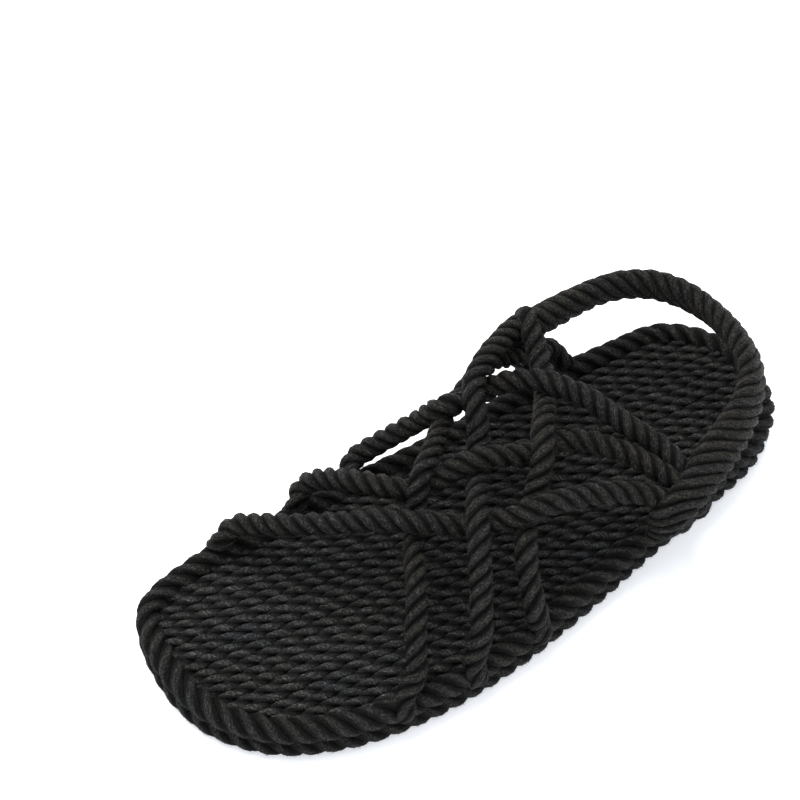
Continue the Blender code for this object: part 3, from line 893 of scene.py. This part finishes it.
# Footbed and outsole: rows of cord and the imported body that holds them
footbed = Bundle()
lay_rows(footbed, FOOTBED_MIDDLE, outer=11, steps_per_lay=12, lively=1.0)
plate(footbed, *FOOTBED_PLATE)
add_piece("footbed_rows", footbed, ROWS, "footbed_rope", "footbed")
outsole = Bundle()
lay_rows(outsole, ROW_RADIUS, outer=7, steps_per_lay=8, lively=0.0)
plate(outsole, *OUTSOLE_PLATE)
add_piece("outsole_rows", outsole, ROWS, "outsole_rope", "outsole")

# Floor: its reach is in metres
FLOOR_REACH = 6.0
FLOOR_CORNERS = ((-1, -1), (1, -1), (1, 1), (-1, 1))
floor_data = bpy.data.meshes.new("floor")
floor_data.from_pydata([(x * FLOOR_REACH, y * FLOOR_REACH, 0.0) for x, y in FLOOR_CORNERS],
                       [], [(0, 1, 2, 3)])
floor = bpy.data.objects.new("floor", floor_data)
bpy.context.scene.collection.objects.link(floor)
paper = bpy.data.materials.new("pale_floor")
paper.use_nodes = True
sheet = paper.node_tree.nodes["Principled BSDF"].inputs
sheet["Base Color"].default_value = (0.93, 0.94, 0.96, 1.0)
sheet["Roughness"].default_value = 0.9
sheet["Specular IOR Level"].default_value = 0.1
sheet["Emission Color"].default_value = (0.93, 0.95, 1.0, 1.0)
sheet["Emission Strength"].default_value = 0.3
floor_data.materials.append(paper)

# Soft studio light: an even pale surround, a broad light above the inner side and a weaker one
# from the toe and the outer side
world = bpy.data.worlds.new("studio")
bpy.context.scene.world = world
world.use_nodes = True
surround = world.node_tree.nodes["Background"].inputs
surround["Color"].default_value = (0.96, 0.98, 1.0, 1.0)
surround["Strength"].default_value = 1.0


def soft_light(name, place, size, power, colour):
    """A square light that looks at the sandal: place and size in metres, power in watts."""
    data = bpy.data.lights.new(name, "AREA")
    data.shape = "SQUARE"
    data.size = size
    data.energy = power
    data.color = colour
    lamp = bpy.data.objects.new(name, data)
    bpy.context.scene.collection.objects.link(lamp)
    lamp.location = place
    lamp.rotation_euler = (LIT_PLACE - Vector(place)).to_track_quat("-Z", "Y").to_euler()


LIT_PLACE = Vector((0.0, 0.0, 0.03))
soft_light("overhead", (-0.62, -0.02, 1.25), size=1.3, power=32.0, colour=(1.0, 0.985, 0.955))
soft_light("front_fill", (0.9, -0.9, 0.8), size=0.9, power=6.0, colour=(0.94, 0.97, 1.0))

# Camera: the photo's angle to this sandal, worked out from the outline of its sole. Angles are
# in degrees, with the azimuth from the toe to the outer side; the rest is in millimetres.
CAMERA_AZIMUTH = 54.597
CAMERA_ELEVATION = 51.957
CAMERA_ROLL = 3.41
CAMERA_DISTANCE = 759.0
CAMERA_AIM = (-72.0, 9.7, 0.0)
camera_data = bpy.data.cameras.new("camera")
camera_data.sensor_width = 36.0
camera_data.lens = 86.06
camera_data.clip_start = 0.01
camera = bpy.data.objects.new("camera", camera_data)
bpy.context.scene.collection.objects.link(camera)
azimuth = math.radians(CAMERA_AZIMUTH)
elevation = math.radians(CAMERA_ELEVATION)
roll = math.radians(CAMERA_ROLL)
back = Vector((
    math.sin(azimuth) * math.cos(elevation),
    -math.cos(azimuth) * math.cos(elevation),
    math.sin(elevation)))
flat_right = Vector((math.cos(azimuth), math.sin(azimuth), 0.0))
flat_up = back.cross(flat_right)
right = math.cos(roll) * flat_right + math.sin(roll) * flat_up
up = back.cross(right)
aim = Vector(CAMERA_AIM) + Vector(SHIFT)
eye = (aim + back * CAMERA_DISTANCE) * MM
camera.matrix_world = Matrix((
    (right.x, up.x, back.x, eye.x),
    (right.y, up.y, back.y, eye.y),
    (right.z, up.z, back.z, eye.z),
    (0.0, 0.0, 0.0, 1.0)))
bpy.context.scene.camera = camera

bpy.context.scene.view_settings.view_transform = "Standard"
